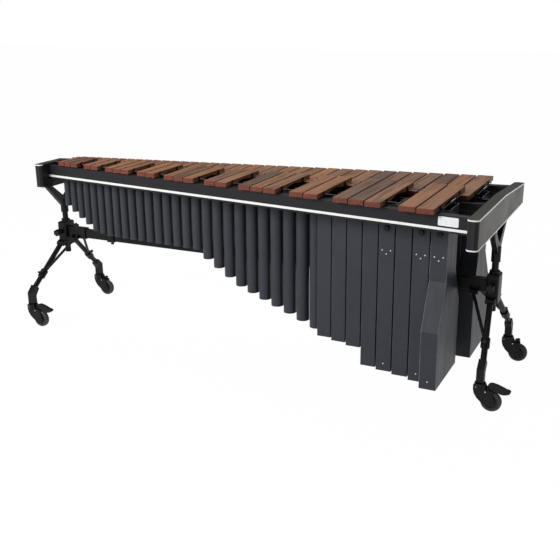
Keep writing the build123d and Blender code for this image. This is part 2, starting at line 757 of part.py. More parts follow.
def make_tuning_knob(k):
    """Black knob on a cross shaft with a butterfly flap inside the resonator's neck."""
    x, y, pitch = resonator_place(-1, k)
    face_y = y - BOX_DEPTH / 2 - RUNNING_CLEARANCE
    with BuildPart() as knob:
        with BuildSketch(Plane.XZ.offset(-face_y)):
            with Locations((x, KNOB_Z)):
                Circle(KNOB_DIAMETER / 2)
                with PolarLocations(KNOB_DIAMETER / 2 + 1, 8):
                    Circle(3, mode=Mode.SUBTRACT)
        extrude(amount=KNOB_DEPTH)
        fillet(knob.faces().sort_by(Axis.Y)[0].edges(), 1.2)
        with BuildSketch(Plane.XZ.offset(-face_y)):
            with Locations((x, KNOB_Z)):
                Circle(KNOB_SHAFT_DIAMETER / 2)
        extrude(amount=-(BOX_DEPTH + RUNNING_CLEARANCE))
        with BuildSketch(Plane.XZ.offset(-(face_y + BOX_WALL * 2 + RUNNING_CLEARANCE))):
            with Locations((x, KNOB_Z)):
                Rectangle(FLAP_THICKNESS, 2 * FLAP_RADIUS)
        extrude(amount=-(BOX_DEPTH - 4 * BOX_WALL - 2))
    return knob.part


for k in TUNED_SLOTS:
    keep(make_tuning_knob(k), f"tuning_knob_{SLOTS - k + 1}")

# ---------------------------------------------------------------- stand: yokes, hubs, crossbar


def make_yoke(side):
    """Forked head under an end panel on a round column that slides in the hub."""
    x = side * COLUMN_X
    with BuildPart() as yoke:
        with BuildSketch(Plane.XY.offset(COLUMN_BOTTOM_Z)):
            with Locations((x, 0)):
                Circle(COLUMN_DIAMETER / 2)
        extrude(amount=FORK_JOINT_Z - COLUMN_BOTTOM_Z)
        with BuildSketch(Plane.XY.offset(HUB_TOP_Z + 60)):
            with Locations((x, 0)):
                Circle(FORK_SLEEVE_DIAMETER / 2)
        extrude(amount=FORK_JOINT_Z - HUB_TOP_Z - 40)
        plate_z = PANEL_BOTTOM_Z - FORK_PLATE_THICKNESS
        for arm in (-1, 1):
            with BuildSketch(Plane.YZ.offset(x - FORK_WIDTH / 2)):
                with BuildLine():
                    Polyline(
                        (-arm * 6, FORK_JOINT_Z - 20), (arm * 22, FORK_JOINT_Z - 12),
                        (arm * FORK_SPREAD, plate_z), (arm * (FORK_SPREAD - 44), plate_z),
                        (-arm * 6, FORK_JOINT_Z + 34), close=True,
                    )
                make_face()
            extrude(amount=FORK_WIDTH)
        with BuildSketch(Plane.XY.offset(plate_z)):
            with Locations((x, 0)):
                Rectangle(FORK_WIDTH + 10, 2 * FORK_SPREAD + 20)
        extrude(amount=FORK_PLATE_THICKNESS)
    return yoke.part


def make_hub(side):
    """Cast hub: bore for the column, sleeve for the crossbar, ears for the legs' pivots."""
    x = side * COLUMN_X
    inner_face = x - side * HUB_WIDTH_X / 2
    with BuildPart() as hub:
        with BuildSketch(Plane.XY.offset(HUB_BOTTOM_Z)):
            with Locations((x, 0)):
                RectangleRounded(HUB_WIDTH_X, HUB_WIDTH_Y, HUB_CORNER_R)
        extrude(amount=HUB_TOP_Z - HUB_BOTTOM_Z)
        chamfer(hub.faces().sort_by(Axis.Z)[-1].edges(), 5)
        # collar on top of the casting
        with BuildSketch(Plane.XY.offset(HUB_TOP_Z)):
            with Locations((x, 0)):
                Circle(COLUMN_DIAMETER / 2 + 9)
        extrude(amount=14)
        # sleeve that takes the end of the crossbar
        with BuildSketch(Plane.YZ.offset(inner_face)):
            with Locations((0, CROSSBAR_Z)):
                RectangleRounded(
                    CROSSBAR_WIDTH + 2 * SLEEVE_WALL, CROSSBAR_HEIGHT + 2 * SLEEVE_WALL, 6,
                )
        extrude(amount=-side * SLEEVE_LENGTH)
        for arm in (-1, 1):
            # boss for the clamp knob
            with BuildSketch(Plane.XZ):
                with Locations((x, CLAMP_KNOB_Z)):
                    Circle(CLAMP_BOSS_RADIUS)
            extrude(amount=-arm * (HUB_WIDTH_Y / 2 + CLAMP_BOSS_LENGTH))
            for cheek in (-1, 1):
                # a pair of ears on the casting carries each leg's pivot
                with BuildSketch(Plane.YZ.offset(x + cheek * (LEG_EAR_GAP / 2 + RUNNING_CLEARANCE))):
                    with BuildLine():
                        Polyline(
                            (arm * (HUB_WIDTH_Y / 2 - 8), LEG_PIVOT_Z + LEG_EAR_RADIUS + 4),
                            (arm * (LEG_PIVOT_Y + 6), LEG_PIVOT_Z + 13), (arm * (LEG_PIVOT_Y + 12), LEG_PIVOT_Z),
                            (arm * (LEG_PIVOT_Y + 6), LEG_PIVOT_Z - 13),
                            (arm * (HUB_WIDTH_Y / 2 - 8), LEG_PIVOT_Z - 13), close=True,
                        )
                    make_face()
                extrude(amount=cheek * LEG_EAR_THICKNESS)
                # a pair of lugs on the sleeve's side holds each strut's eye
                sleeve_y = CROSSBAR_WIDTH / 2 + SLEEVE_WALL / 2
                eye_start = side * STRUT_TOP_X + cheek * (STRUT_EYE_WIDTH / 2 + RUNNING_CLEARANCE)
                with BuildSketch(Plane.YZ.offset(eye_start)):
                    with BuildLine():
                        Polyline(
                            (arm * sleeve_y, STRUT_TOP_Z + 26), (arm * (STRUT_TOP_Y - 8), STRUT_TOP_Z + 24),
                            (arm * (STRUT_TOP_Y + 6), STRUT_TOP_Z + 8), (arm * (STRUT_TOP_Y + 6), STRUT_TOP_Z - 4),
                            (arm * (STRUT_TOP_Y - 4), STRUT_TOP_Z - 11), (arm * sleeve_y, STRUT_TOP_Z + 4), close=True,
                        )
                    make_face()
                extrude(amount=cheek * LEG_EAR_THICKNESS)
            with BuildSketch(Plane.YZ.offset(x - LEG_EAR_GAP)):
                with Locations((arm * LEG_PIVOT_Y, LEG_PIVOT_Z)):
                    Circle(PIVOT_PIN_DIAMETER / 2 + 0.05)
            extrude(amount=2 * LEG_EAR_GAP, mode=Mode.SUBTRACT)
        # bore for the sliding column
        with BuildSketch(Plane.XY.offset(LEG_PIVOT_Z - 40)):
            with Locations((x, 0)):
                Circle(COLUMN_DIAMETER / 2 + COLUMN_CLEARANCE)
        extrude(amount=HUB_TOP_Z - LEG_PIVOT_Z + 100, mode=Mode.SUBTRACT)
        # socket for the crossbar, stopped short of the column
        with BuildSketch(Plane.YZ.offset(inner_face)):
            with Locations((0, CROSSBAR_Z)):
                Rectangle(CROSSBAR_WIDTH, CROSSBAR_HEIGHT)
        extrude(amount=-side * SLEEVE_LENGTH, mode=Mode.SUBTRACT)
        # tapped holes for the clamp knobs' studs
        with BuildSketch(Plane.XZ):
            with Locations((x, CLAMP_KNOB_Z)):
                Circle(CLAMP_STUD_DIAMETER / 2 + 0.05)
        extrude(amount=HUB_WIDTH_Y, both=True, mode=Mode.SUBTRACT)
    return hub.part


def make_clamp_knob(side, row):
    """Star knob whose stud clamps the column in the hub."""
    centre = (side * COLUMN_X, CLAMP_KNOB_Z)
    boss_y = HUB_WIDTH_Y / 2 + CLAMP_BOSS_LENGTH
    face = Plane.XZ.offset(-row * (boss_y + RUNNING_CLEARANCE))
    with BuildPart() as knob:
        with BuildSketch(face):
            with Locations(centre):
                Circle(CLAMP_KNOB_RADIUS)
                with PolarLocations(CLAMP_KNOB_RADIUS + 4, 6):
                    Circle(8, mode=Mode.SUBTRACT)
        extrude(amount=-row * CLAMP_KNOB_DEPTH)
        fillet(knob.faces().sort_by(Axis.Y)[-1 if row > 0 else 0].edges(), 1.5)
        with BuildSketch(face):
            with Locations(centre):
                Circle(CLAMP_STUD_DIAMETER / 2)
        extrude(amount=row * (boss_y - COLUMN_DIAMETER / 2 - 1))
    return knob.part


for side, end in ((1, "low"), (-1, "high")):
    keep(make_yoke(side), f"{end}_yoke")
    keep(make_hub(side), f"{end}_hub")
    for row, flank in ((-1, "near"), (1, "far")):
        keep(make_clamp_knob(side, row), f"{end}_{flank}_knob")

crossbar_half = COLUMN_X - HUB_WIDTH_X / 2
with BuildPart() as crossbar:
    with BuildSketch(Plane.YZ.offset(-crossbar_half)):
        with Locations((0, CROSSBAR_Z)):
            Rectangle(CROSSBAR_WIDTH, CROSSBAR_HEIGHT)
            Rectangle(CROSSBAR_WIDTH - 2 * CROSSBAR_WALL, CROSSBAR_HEIGHT - 2 * CROSSBAR_WALL, mode=Mode.SUBTRACT)
    extrude(amount=2 * crossbar_half)
keep(crossbar.part, "crossbar")

with BuildPart() as crossbar_clamp:
    with BuildSketch(Plane.YZ.offset(CLAMP_X - CLAMP_LENGTH / 2)):
        with Locations((0, CROSSBAR_Z)):
            RectangleRounded(CROSSBAR_WIDTH + 14, CROSSBAR_HEIGHT + 14, 5)
            Rectangle(CROSSBAR_WIDTH, CROSSBAR_HEIGHT, mode=Mode.SUBTRACT)
    extrude(amount=CLAMP_LENGTH)
    with BuildSketch(Plane.XY.offset(CROSSBAR_Z - CROSSBAR_HEIGHT / 2 - 6.5)):
        with Locations((CLAMP_X, 0)):
            Circle(9)
    extrude(amount=-16)
keep(crossbar_clamp.part, "crossbar_clamp")

# ---------------------------------------------------------------- legs, knees and struts


def leg_point(y):
    """Height of the leg's centre line at a distance y from the centre plane."""
    return LEG_PIVOT_Z + (KNEE_TOP_Z - LEG_PIVOT_Z) * (y - LEG_PIVOT_Y) / (KNEE_TOP_Y - LEG_PIVOT_Y)


def leg_x(y):
    """The leg leans outwards along X from the hub to the caster's stem."""
    return COLUMN_X + (STEM_X - COLUMN_X) * (y - LEG_PIVOT_Y) / (KNEE_TOP_Y - LEG_PIVOT_Y)


def make_leg(side, row):
    """Round leg tube with a flat eye and its pivot pin at the hub."""
    top_y = LEG_PIVOT_Y + LEG_TUBE_START
    top = (side * leg_x(top_y), row * top_y, leg_point(top_y))
    low = (side * STEM_X, row * KNEE_TOP_Y, KNEE_TOP_Z)
    ear = LEG_EAR_GAP / 2
    with BuildPart() as leg:
        with BuildSketch(Plane.YZ.offset(side * COLUMN_X - ear)):
            with Locations((row * LEG_PIVOT_Y, LEG_PIVOT_Z)):
                Circle(LEG_EAR_RADIUS - 6)
        extrude(amount=2 * ear)
        pin_half = ear + LEG_EAR_THICKNESS + 3
        with BuildSketch(Plane.YZ.offset(side * COLUMN_X - pin_half)):
            with Locations((row * LEG_PIVOT_Y, LEG_PIVOT_Z)):
                Circle(PIVOT_PIN_DIAMETER / 2)
        extrude(amount=2 * pin_half)
        run = Vector(*low) - Vector(*top)
        with BuildSketch(Plane(origin=top, z_dir=run)):
            Circle(LEG_DIAMETER / 2)
        extrude(amount=run.length)
    return leg.part


def make_knee(side, row):
    """Cast knee that turns the sloping leg upright and holds the caster's stem."""
    x = side * STEM_X
    half = KNEE_WIDTH / 2
    down = Vector(0, KNEE_TOP_Y - LEG_PIVOT_Y, KNEE_TOP_Z - LEG_PIVOT_Z).normalized()
    top_y = KNEE_TOP_Y + down.Y * 2
    top_z = KNEE_TOP_Z + down.Z * 2
    with BuildPart() as knee:
        with BuildSketch(Plane.YZ.offset(x - half)):
            with BuildLine():
                # across the top, square to the leg, then down the outer and inner sides
                Polyline(
                    (row * (top_y - half * -down.Z), top_z - half * down.Y),
                    (row * (top_y + half * -down.Z), top_z + half * down.Y),
                    (row * (STEM_Y + half), KNEE_BEND_Z + 12), (row * (STEM_Y + half), KNEE_BOTTOM_Z),
                    (row * (STEM_Y - half), KNEE_BOTTOM_Z), (row * (STEM_Y - half), KNEE_BEND_Z - 12), close=True,
                )
            make_face()
        extrude(amount=KNEE_WIDTH)
        fillet(knee.edges().filter_by(Axis.X), 5)
        with BuildSketch(Plane.XY.offset(KNEE_BOTTOM_Z)):
            with Locations((x, row * STEM_Y)):
                Circle(CASTER_STEM_DIAMETER / 2 + RUNNING_CLEARANCE)
        extrude(amount=KNEE_BEND_Z - KNEE_BOTTOM_Z - 10, mode=Mode.SUBTRACT)
    return knee.part


def make_strut(side, row):
    """Brace from the crossbar's sleeve to a collar on the leg; its eye lifts out of the lugs as the leg folds."""
    collar_x = side * leg_x(COLLAR_Y)
    collar = Vector(collar_x, row * COLLAR_Y, leg_point(COLLAR_Y))
    leg_run = Vector(side * (STEM_X - COLUMN_X), row * (KNEE_TOP_Y - LEG_PIVOT_Y), KNEE_TOP_Z - LEG_PIVOT_Z)
    leg_run = leg_run.normalized()
    eye_x = side * STRUT_TOP_X
    half = STRUT_EYE_WIDTH / 2
    with BuildPart() as strut:
        with BuildSketch(Plane.YZ.offset(eye_x - half)):
            with Locations((row * STRUT_TOP_Y, STRUT_TOP_Z)):
                Circle(STRUT_EYE_RADIUS)
        extrude(amount=STRUT_EYE_WIDTH)
        top = Vector(eye_x, row * (STRUT_TOP_Y + 3), STRUT_TOP_Z - 3)
        with BuildSketch(Plane(origin=top, z_dir=collar - top)):
            Circle(STRUT_DIAMETER / 2)
        extrude(amount=(collar - top).length)
        with BuildSketch(Plane(origin=collar - leg_run * 24, z_dir=leg_run)):
            Circle(LEG_DIAMETER / 2 + 7)
        extrude(amount=48)
        # clamp lever on the collar
        lever_out = Vector(0, row * 0.85, 0.5)
        with BuildSketch(Plane(origin=collar, z_dir=lever_out)):
            Rectangle(12, 14)
        extrude(amount=LEG_DIAMETER / 2 + 24)
        # bore for the leg, which the strut's own end must not enter either
        with BuildSketch(Plane(origin=collar - leg_run * 110, z_dir=leg_run)):
            Circle(LEG_DIAMETER / 2 + COLLAR_CLEARANCE)
        extrude(amount=150, mode=Mode.SUBTRACT)
    return strut.part


# ---------------------------------------------------------------- casters


def make_caster_fork(x, y):
    """Swivel head with a stem and two cheeks that carry the wheel's axle behind it."""
    wheel_x = x + WHEEL_TRAIL
    wheel_r = WHEEL_DIAMETER / 2
    cheek_y = WHEEL_WIDTH / 2 + CASTER_GAP
    head_top = KNEE_BOTTOM_Z - CASTER_TOP_CLEARANCE
    head_bottom = WHEEL_DIAMETER + CASTER_GAP + 1
    with BuildPart() as fork:
        with BuildSketch(Plane.XY.offset(head_bottom)):
            with Locations((x, y)):
                Circle(CASTER_HEAD_RADIUS)
        extrude(amount=head_top - head_bottom)
        with BuildSketch(Plane.XY.offset(head_bottom)):
            with Locations((x + PEDAL_PIVOT_X / 2, y)):
                Rectangle(PEDAL_PIVOT_X + 12, 2 * (cheek_y + FORK_CHEEK))
        extrude(amount=6)
        with BuildSketch(Plane.XY.offset(head_top)):
            with Locations((x, y)):
                Circle(CASTER_STEM_DIAMETER / 2)
        extrude(amount=KNEE_BEND_Z - KNEE_BOTTOM_Z - 16)
        for cheek in (-1, 1):
            with BuildSketch(Plane.XZ.offset(-(y + cheek * cheek_y))):
                with BuildLine():
                    Polyline(
                        (x - CASTER_HEAD_RADIUS + 6, head_top - 5), (x - CASTER_HEAD_RADIUS + 2, WHEEL_DIAMETER * 0.9),
                        (wheel_x - 16, wheel_r - 14), (wheel_x + 14, wheel_r - 12), (wheel_x + 17, wheel_r + 8),
                        (wheel_x + 6, head_bottom + 6), (x + 33, head_bottom + 6), (x + 24, head_top - 5), close=True,
                    )
                make_face()
            extrude(amount=-cheek * FORK_CHEEK)
            # lug that holds the pedal's pin
            with BuildSketch(Plane.XZ.offset(-(y + cheek * (PEDAL_HALF_WIDTH + RUNNING_CLEARANCE)))):
                with Locations((x + PEDAL_PIVOT_X, WHEEL_DIAMETER + PEDAL_PIVOT_RISE)):
                    Circle(PEDAL_BARREL_RADIUS + 1)
                with Locations((x + PEDAL_PIVOT_X, head_bottom + 5)):
                    Rectangle(2 * PEDAL_BARREL_RADIUS + 2, 2 * (PEDAL_PIVOT_RISE - 7))
                with Locations((x + PEDAL_PIVOT_X, WHEEL_DIAMETER + PEDAL_PIVOT_RISE)):
                    Circle(PEDAL_PIN_RADIUS + 0.06, mode=Mode.SUBTRACT)
            extrude(amount=-cheek * FORK_CHEEK)
        with BuildSketch(Plane.XY):
            with Locations((x + WHEEL_TRAIL, y)):
                Rectangle(2 * WHEEL_DIAMETER, 2 * cheek_y)
        extrude(amount=head_bottom, mode=Mode.SUBTRACT)
        axle_half = cheek_y + FORK_CHEEK + 3
        with BuildSketch(Plane.XZ.offset(-(y - axle_half))):
            with Locations((wheel_x, wheel_r)):
                Circle(AXLE_DIAMETER / 2)
        extrude(amount=-2 * axle_half)
    return fork.part


def make_wheel(x, y):
    """Tyre and hub of one caster wheel on a horizontal axle along Y."""
    radius = WHEEL_DIAMETER / 2
    half = WHEEL_WIDTH / 2
    with BuildPart() as wheel:
        with BuildSketch(Plane.XZ.offset(-(y - half))):
            with Locations((x, radius)):
                Circle(radius)
        extrude(amount=-WHEEL_WIDTH)
        fillet(wheel.edges().filter_by(GeomType.CIRCLE), TREAD_R)
        for face in (-1, 1):
            with BuildSketch(Plane.XZ.offset(-(y + face * half))):
                with Locations((x, radius)):
                    Circle(radius * 0.62)
                    Circle(radius * 0.28, mode=Mode.SUBTRACT)
            extrude(amount=face * 4, mode=Mode.SUBTRACT)
        with BuildSketch(Plane.XZ.offset(-(y - half))):
            with Locations((x, radius)):
                Circle(AXLE_DIAMETER / 2 + 0.08)
        extrude(amount=-WHEEL_WIDTH, mode=Mode.SUBTRACT)
    return wheel.part


def make_pedal(x, y, reach, tilt):
    """Brake pedal over the wheel, on a pin between the fork's two lugs."""
    hinge_x = x + PEDAL_PIVOT_X
    hinge_z = WHEEL_DIAMETER + PEDAL_PIVOT_RISE
    tip_x = x + reach
    half = PEDAL_HALF_WIDTH
    pin_half = half + RUNNING_CLEARANCE + FORK_CHEEK + 1
    with BuildPart() as pedal:
        with BuildSketch(Plane.XZ.offset(-(y - half))):
            with Locations((hinge_x, hinge_z)):
                Circle(PEDAL_BARREL_RADIUS)
            with BuildLine():
                Polyline(
                    (hinge_x, hinge_z - 3), (hinge_x, hinge_z + 4),
                    (tip_x - 14, hinge_z + PEDAL_THICKNESS - 3 - tilt), (tip_x, hinge_z - tilt - 2),
                    (tip_x - 3, hinge_z - tilt - 6), (tip_x - 16, hinge_z - tilt - 3), close=True,
                )
            make_face()
        extrude(amount=-2 * half)
        with BuildSketch(Plane.XZ.offset(-(y - pin_half))):
            with Locations((hinge_x, hinge_z)):
                Circle(PEDAL_PIN_RADIUS)
        extrude(amount=-2 * pin_half)
    return pedal.part


for side, end in ((1, "low"), (-1, "high")):
    for row, flank in ((-1, "near"), (1, "far")):
        corner = f"{end}_{flank}"
        keep(make_leg(side, row), f"{corner}_leg")
        keep(make_knee(side, row), f"{corner}_knee")
        keep(make_strut(side, row), f"{corner}_strut")
        stem_x = side * STEM_X
        keep(make_caster_fork(stem_x, row * STEM_Y), f"{corner}_caster_fork")
        keep(make_wheel(stem_x + WHEEL_TRAIL, row * STEM_Y), f"{corner}_wheel")
        if row < 0:
            pedal = make_pedal(stem_x, row * STEM_Y, PEDAL_REACH, PRESSED_TILT)
        else:
            pedal = make_pedal(stem_x, row * STEM_Y, PARKED_PEDAL_REACH, PARKED_TILT)
        keep(pedal, f"{corner}_pedal")

# ---------------------------------------------------------------- writing
# The origin is on the floor, under the middle of the whole outline.

corners = [piece.bounding_box() for piece in pieces.values()]
middle_x = (min(box.min.X for box in corners) + max(box.max.X for box in corners)) / 2
middle_y = (min(box.min.Y for box in corners) + max(box.max.Y for box in corners)) / 2
floor = Location((-middle_x, -middle_y, 0))
print(f"model centre sits at X {middle_x:.3f}, Y {middle_y:.3f} of the keyboard's own frame")
for name, piece in pieces.items():
    solids = [solid.moved(floor) for solid in piece.solids()]
    placed = solids[0] if len(solids) == 1 else Compound(children=solids)
    placed.label = name
    export_step(placed, f"parts/{name}.step")
print(len(pieces), "nodes")
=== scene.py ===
import math
import random

import bmesh
import bpy
from mathutils import Matrix, Vector


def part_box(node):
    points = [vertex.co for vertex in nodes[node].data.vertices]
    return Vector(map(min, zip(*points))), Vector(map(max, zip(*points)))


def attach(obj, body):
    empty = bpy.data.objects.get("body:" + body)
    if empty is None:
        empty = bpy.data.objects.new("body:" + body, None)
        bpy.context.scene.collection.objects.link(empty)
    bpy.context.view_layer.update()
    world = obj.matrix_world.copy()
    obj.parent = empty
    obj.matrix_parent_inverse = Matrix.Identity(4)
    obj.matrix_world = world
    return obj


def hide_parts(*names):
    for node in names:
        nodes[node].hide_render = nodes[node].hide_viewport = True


# Looks of the five-octave marimba. Metres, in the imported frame: +X towards the low notes,
# -Y the audience side, +Z up, floor at Z 0.

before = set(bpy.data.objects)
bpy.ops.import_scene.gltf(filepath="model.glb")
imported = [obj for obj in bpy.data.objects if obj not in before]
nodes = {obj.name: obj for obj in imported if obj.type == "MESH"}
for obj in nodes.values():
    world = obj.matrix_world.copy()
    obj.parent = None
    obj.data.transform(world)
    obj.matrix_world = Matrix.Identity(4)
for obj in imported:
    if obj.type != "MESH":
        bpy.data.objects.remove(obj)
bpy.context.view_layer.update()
ENDS = ("low", "high")
CORNERS = ("low_near", "low_far", "high_near", "high_far")
random.seed(61)


# ---------------------------------------------------------------- camera, lights, floor

CAMERA_PLACE = (2.04205, -4.0080, 1.8430)
CAMERA_YAW = math.radians(25.915)
CAMERA_PITCH = math.radians(18.083)
CAMERA_ROLL = math.radians(-0.603)
CAMERA_LENS = 54.2255
SENSOR = 36.0


def make_camera():
    data = bpy.data.cameras.new("camera")
    data.lens = CAMERA_LENS
    data.sensor_width = SENSOR
    data.clip_end = 100
    camera = bpy.data.objects.new("camera", data)
    bpy.context.scene.collection.objects.link(camera)
    turn = (Matrix.Rotation(CAMERA_YAW, 4, "Z") @ Matrix.Rotation(math.pi / 2 - CAMERA_PITCH, 4, "X")
            @ Matrix.Rotation(CAMERA_ROLL, 4, "Z"))
    camera.matrix_world = Matrix.Translation(CAMERA_PLACE) @ turn
    bpy.context.scene.camera = camera


def area_light(name, place, aim, size, power):
    """Soft square lamp at place that faces aim."""
    data = bpy.data.lights.new(name, "AREA")
    data.shape = "SQUARE"
    data.size = size
    data.energy = power
    lamp = bpy.data.objects.new(name, data)
    bpy.context.scene.collection.objects.link(lamp)
    lamp.location = place
    lamp.rotation_euler = (Vector(aim) - Vector(place)).to_track_quat("-Z", "Y").to_euler()


def seen_directly(tree):
    """1 for rays from the camera, from mirror-like surfaces and through glass, else 0."""
    path = tree.nodes.new("ShaderNodeLightPath")
    total = path.outputs["Is Camera Ray"]
    for ray in ("Is Glossy Ray", "Is Transmission Ray"):
        join = tree.nodes.new("ShaderNodeMath")
        join.operation = "MAXIMUM"
        tree.links.new(total, join.inputs[0])
        tree.links.new(path.outputs[ray], join.inputs[1])
        total = join.outputs[0]
    return total


# name, place, aim, side in metres, watts
LAMPS = (
    ("key", (-2.6, -5.0, 3.6), (0, 0, 0.7), 2.4, 380),
    ("fill", (4.8, -1.2, 3.0), (0.9, 0, 0.7), 2.4, 10),
    ("top", (0.2, 1.8, 4.8), (0.2, 0, 0.9), 3.0, 130),
)
WORLD_LIGHT = 0.22
FLOOR_WHITE_SHARE = 0.985


def make_world():
    world = bpy.data.worlds.new("studio")
    bpy.context.scene.world = world
    world.use_nodes = True
    tree = world.node_tree
    tree.nodes.clear()
    lit = tree.nodes.new("ShaderNodeBackground")
    lit.inputs["Strength"].default_value = WORLD_LIGHT
    lit.inputs["Color"].default_value = (0.95, 0.97, 1.0, 1)
    white = tree.nodes.new("ShaderNodeBackground")
    white.inputs["Color"].default_value = (1, 1, 1, 1)
    mix = tree.nodes.new("ShaderNodeMixShader")
    path = tree.nodes.new("ShaderNodeLightPath")
    out = tree.nodes.new("ShaderNodeOutputWorld")
    tree.links.new(path.outputs["Is Camera Ray"], mix.inputs[0])
    tree.links.new(lit.outputs[0], mix.inputs[1])
    tree.links.new(white.outputs[0], mix.inputs[2])
    tree.links.new(mix.outputs[0], out.inputs["Surface"])


def make_floor():
    bpy.ops.mesh.primitive_plane_add(size=60)
    floor = bpy.context.object
    floor.name = "floor"
    made = bpy.data.materials.new("floor")
    made.use_nodes = True
    tree = made.node_tree
    tree.nodes.clear()
    matte = tree.nodes.new("ShaderNodeBsdfDiffuse")
    matte.inputs["Color"].default_value = (0.86, 0.86, 0.86, 1)
    glow = tree.nodes.new("ShaderNodeEmission")
    share = tree.nodes.new("ShaderNodeMath")
    share.operation = "MULTIPLY"
    share.inputs[1].default_value = FLOOR_WHITE_SHARE
    mix = tree.nodes.new("ShaderNodeMixShader")
    out = tree.nodes.new("ShaderNodeOutputMaterial")
    tree.links.new(seen_directly(tree), share.inputs[0])
    tree.links.new(share.outputs[0], mix.inputs[0])
    tree.links.new(matte.outputs[0], mix.inputs[1])
    tree.links.new(glow.outputs[0], mix.inputs[2])
    tree.links.new(mix.outputs[0], out.inputs["Surface"])
    floor.data.materials.append(made)


# ---------------------------------------------------------------- material graphs


def colour(r, g, b):
    """An 8-bit display colour as the linear value that a shader takes."""
    def linear(v):
        v /= 255
        return v / 12.92 if v <= 0.04045 else ((v + 0.055) / 1.055) ** 2.4
    return (linear(r), linear(g), linear(b), 1)


class Graph:
    """One material and the few kinds of node that it is built from."""

    def __init__(self, name, **fixed):
        self.material = bpy.data.materials.new(name)
        self.material.use_nodes = True
        self.tree = self.material.node_tree
        self.shader = self.tree.nodes["Principled BSDF"]
        for socket, value in fixed.items():
            self.shader.inputs[socket.replace("_", " ")].default_value = value

    def feed(self, socket, value):
        if isinstance(value, bpy.types.NodeSocket):
            self.tree.links.new(value, socket)
        else:
            socket.default_value = value

    def node(self, kind, inputs, **settings):
        made = self.tree.nodes.new("ShaderNode" + kind)
        for key, value in settings.items():
            setattr(made, key, value)
        for socket, value in inputs.items():
            self.feed(made.inputs[socket], value)
        return made

    def math(self, operation, a, b=0.0, clamp=False):
        return self.node("Math", {0: a, 1: b}, operation=operation, use_clamp=clamp).outputs[0]

    def place(self, scale=(1, 1, 1), shift=None):
        """Object coordinates, stretched, and moved by a factor along every axis."""
        point = self.node("TexCoord", {}).outputs["Object"]
        point = self.node("Mapping", {"Vector": point, "Scale": scale}).outputs[0]
        if shift is not None:
            step = self.node("CombineXYZ", {0: shift, 1: shift, 2: shift}).outputs[0]
            point = self.node("VectorMath", {0: point, 1: step}, operation="ADD").outputs[0]
        return point

    def noise(self, point, scale=1.0, detail=3.0, rough=0.5):
        inputs = {"Vector": point, "Scale": scale, "Detail": detail, "Roughness": rough}
        return self.node("TexNoise", inputs).outputs["Fac"]

    def span(self, value, low, high, to_low=0.0, to_high=1.0):
        inputs = {"Value": value, "From Min": low, "From Max": high, "To Min": to_low, "To Max": to_high}
        return self.node("MapRange", inputs).outputs[0]

    def blend(self, share, a, b, mode="MIX"):
        made = self.node("Mix", {}, data_type="RGBA", blend_type=mode)
        self.feed(made.inputs[0], share)
        self.feed(made.inputs[6], a)
        self.feed(made.inputs[7], b)
        return made.outputs[2]

    def ramp(self, value, *stops):
        made = self.node("ValToRGB", {0: value})
        ramp = made.color_ramp
        ramp.elements[0].position, ramp.elements[0].color = stops[0]
        ramp.elements[1].position, ramp.elements[1].color = stops[-1]
        for position, tint in stops[1:-1]:
            ramp.elements.new(position).color = tint
        return made.outputs[0]

    def facing(self, axis):
        """How squarely the surface faces along one axis, either way, from 0 to 1."""
        normal = self.node("TexCoord", {}).outputs["Normal"]
        part = self.node("SeparateXYZ", {0: normal}).outputs[axis]
        return self.math("ABSOLUTE", part)

    def edge(self, radius):
        """1 along sharp edges, 0 on flats, from a rounded normal set against the true one."""
        rounded = self.node("Bevel", {"Radius": radius}, samples=4).outputs[0]
        flat = self.node("NewGeometry", {}).outputs["Normal"]
        same = self.node("VectorMath", {0: rounded, 1: flat}, operation="DOT_PRODUCT").outputs["Value"]
        return self.span(same, 0.995, 0.80)

    def bump(self, height, distance, strength=1.0, radius=0.0):
        inputs = {"Height": height, "Distance": distance, "Strength": strength}
        if radius:
            inputs["Normal"] = self.node("Bevel", {"Radius": radius}, samples=4).outputs[0]
        self.feed(self.shader.inputs["Normal"], self.node("Bump", inputs).outputs[0])

    def finish(self, base, roughness):
        self.feed(self.shader.inputs["Base Color"], base)
        self.feed(self.shader.inputs["Roughness"], roughness)
        return self.material


def rosewood():
    """Oiled rosewood: each bar has its own tone, long dark figure, fine pores and redder end grain."""
    g = Graph("rosewood", Coat_Weight=0.05, Coat_Roughness=0.3, Specular_IOR_Level=0.25)
    tone = g.node("Attribute", {}, attribute_name="bar_tone").outputs["Fac"]
    tint = g.node("Attribute", {}, attribute_name="bar_tint").outputs["Fac"]
    shift = g.math("MULTIPLY", tone, 37.0)
    figure = g.noise(g.place((55, 2.6, 55), shift), detail=4, rough=0.62)
    streak = g.noise(g.place((240, 6, 240), shift), detail=3)
    pores = g.noise(g.place((1300, 70, 1300), shift), detail=2)
    plain = g.ramp(tint, (0.0, colour(100, 74, 58)), (0.35, colour(136, 96, 68)),
                   (0.7, colour(152, 102, 66)), (1.0, colour(124, 76, 54)))
    dark = g.blend(0.68, plain, colour(48, 27, 21))
    body = g.blend(g.span(figure, 0.47, 0.66), plain, dark)
    body = g.blend(g.span(streak, 0.52, 0.72, 0.0, 0.45), body, dark)
    body = g.blend(g.span(pores, 0.58, 0.7, 0.0, 0.4), body, colour(40, 22, 18))
    light = g.span(tone, 0, 1, 0.84, 1.16)
    body = g.node("HueSaturation", {"Value": light, "Color": body}).outputs[0]
    rings = g.noise(g.place((160, 4, 420), shift), detail=3)
    grain = g.blend(g.span(rings, 0.35, 0.65), colour(122, 62, 46), colour(70, 30, 24))
    end = g.span(g.facing("Y"), 0.6, 0.85)
    # Painted shade: the sides of each bar, facing along X, are darkened towards a deep brown.
    side = g.math("MULTIPLY", g.span(g.facing("X"), 0.6, 0.9), 0.55)
    body = g.blend(side, body, colour(82, 46, 34))
    base = g.blend(end, body, grain)
    g.bump(g.math("ADD", streak, pores), 0.00025, 0.45)
    return g.finish(base, g.span(figure, 0.3, 0.7, 0.34, 0.5))


